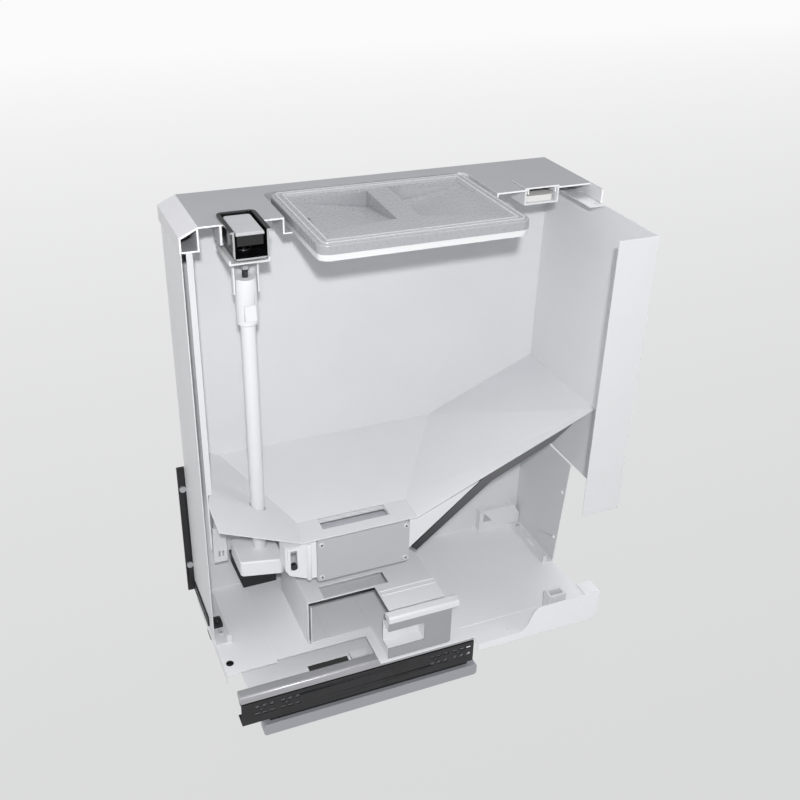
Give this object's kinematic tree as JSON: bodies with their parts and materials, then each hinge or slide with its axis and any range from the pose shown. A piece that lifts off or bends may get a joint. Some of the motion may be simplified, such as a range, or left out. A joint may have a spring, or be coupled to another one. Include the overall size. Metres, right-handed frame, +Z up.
{
  "type": "pull-out grain dispenser, sectioned",
  "caption": "Cutaway under-counter pull-out unit: lidded bin above sloping chutes, push-rod metering drum, catch cup and soft-close slides.",
  "frame": {"origin": "bottom centre of the overall box, on the floor that the foot rails stand on", "axes": "+X from the door end to the rear, +Y from the opened side to the closed side, +Z up"},
  "size_m": [0.4794, 0.2426, 0.602],
  "materials": {
    "cover_grey": "fine texture",
    "white_sheet": "satin powder coat",
    "base_sheet": "satin powder coat",
    "hopper_sheet": "satin",
    "smoke_lid": "translucent",
    "seal_white": "smooth",
    "white_plastic": "smooth",
    "light_plastic": "fine texture",
    "black_plastic": "gloss",
    "silver_cap": "satin anodised",
    "zinc_steel": "zinc plated",
    "dark_steel": "threaded",
    "black_slide": "satin black",
    "foot_grey": "satin",
    "dark_strap": "satin",
    "drum_grey": "smooth",
    "plate_grey": "fine texture",
    "pack_white": "paper-like"
  },
  "bodies": {
    "cabinet_rails": {"cabinet_slide_near": "black_slide", "cabinet_slide_far": "black_slide", "foot_rail_near": "foot_grey", "foot_rail_far": "foot_grey", "cross_plate": "base_sheet"},
    "slide_carriages": {"middle_slide_near": "zinc_steel", "middle_slide_far": "zinc_steel"},
    "lid": {"lid": "smoke_lid", "lid_gasket": "seal_white"},
    "push_rod": {"button_cap": "silver_cap", "button_carrier": "black_plastic", "adjuster_stud": "dark_steel", "lock_nut": "zinc_steel", "rod_coupling": "light_plastic", "coupling_clip": "light_plastic", "push_tube": "white_plastic", "link_block": "white_plastic", "drive_pin": "zinc_steel"},
    "drum": {"metering_drum": "drum_grey", "drum_shaft": "zinc_steel", "drum_crank": "white_plastic"},
    "catch_cup": {"catch_cup": "white_plastic", "cup_plate": "plate_grey", "cup_rail": "white_plastic"},
    "desiccant_cap": {"desiccant_cap": "cover_grey"},
    "carriage": {"top_cover": "cover_grey", "desiccant_box": "white_plastic", "desiccant_pack": "pack_white", "button_bezel": "black_plastic", "return_spring": "dark_steel", "button_mount": "white_plastic", "drum_bushes": "black_plastic", "metering_housing": "light_plastic", "housing_plate": "light_plastic", "housing_screws": "zinc_steel", "end_housing": "light_plastic", "slot_pin": "black_plastic", "hopper": "hopper_sheet", "hopper_gusset": "hopper_sheet", "support_strap": "dark_strap", "far_wall": "white_sheet", "front_wall": "white_sheet", "front_liner": "white_sheet", "rear_wall": "white_sheet", "lower_rear_wall": "white_sheet", "base_plate": "base_sheet", "flange_screws": "zinc_steel", "corner_block": "light_plastic", "socket_box": "light_plastic", "floor_clip": "black_plastic", "wall_block": "black_plastic", "cup_bay": "light_plastic", "bay_trim": "black_plastic", "drawer_slide_near": "zinc_steel", "drawer_slide_far": "zinc_steel", "door_bracket": "black_slide", "bracket_adjusters": "zinc_steel"}
  },
  "joints": [
    {"name": "pull_out", "type": "slide", "parent": "cabinet_rails", "child": "carriage", "axis": [-1, 0, 0], "range_m": [0, 0.28]},
    {"name": "middle_slides", "type": "slide", "parent": "cabinet_rails", "child": "slide_carriages", "axis": [-1, 0, 0], "range_m": [0, 0.14]},
    {"name": "lid_lift", "type": "slide", "parent": "carriage", "child": "lid", "axis": [0, 0, 1], "range_m": [0, 0.08]},
    {"name": "button_press", "type": "slide", "parent": "carriage", "child": "push_rod", "axis": [0, 0, -1], "range_m": [0, 0.012], "stiffness_N_per_m": 500, "springref_m": -0.02, "deforming": ["return_spring"]},
    {"name": "drum_turn", "type": "hinge", "parent": "carriage", "child": "drum", "pos_m": [-0.12025, -0.02475, 0.215], "axis": [-1, 0, 0], "range_deg": [0, 53.13]},
    {"name": "cup_pull", "type": "slide", "parent": "carriage", "child": "catch_cup", "axis": [0, -1, 0], "range_m": [0, 0.14]},
    {"name": "desiccant_lift", "type": "slide", "parent": "carriage", "child": "desiccant_cap", "axis": [0, 0, 1], "range_m": [0, 0.04]}
  ],
  "couplings": [
    {"joint": "middle_slides", "follows": "pull_out", "ratio": 0.5},
    {"joint": "drum_turn", "follows": "button_press", "rad_per_m": 77.27}
  ]
}
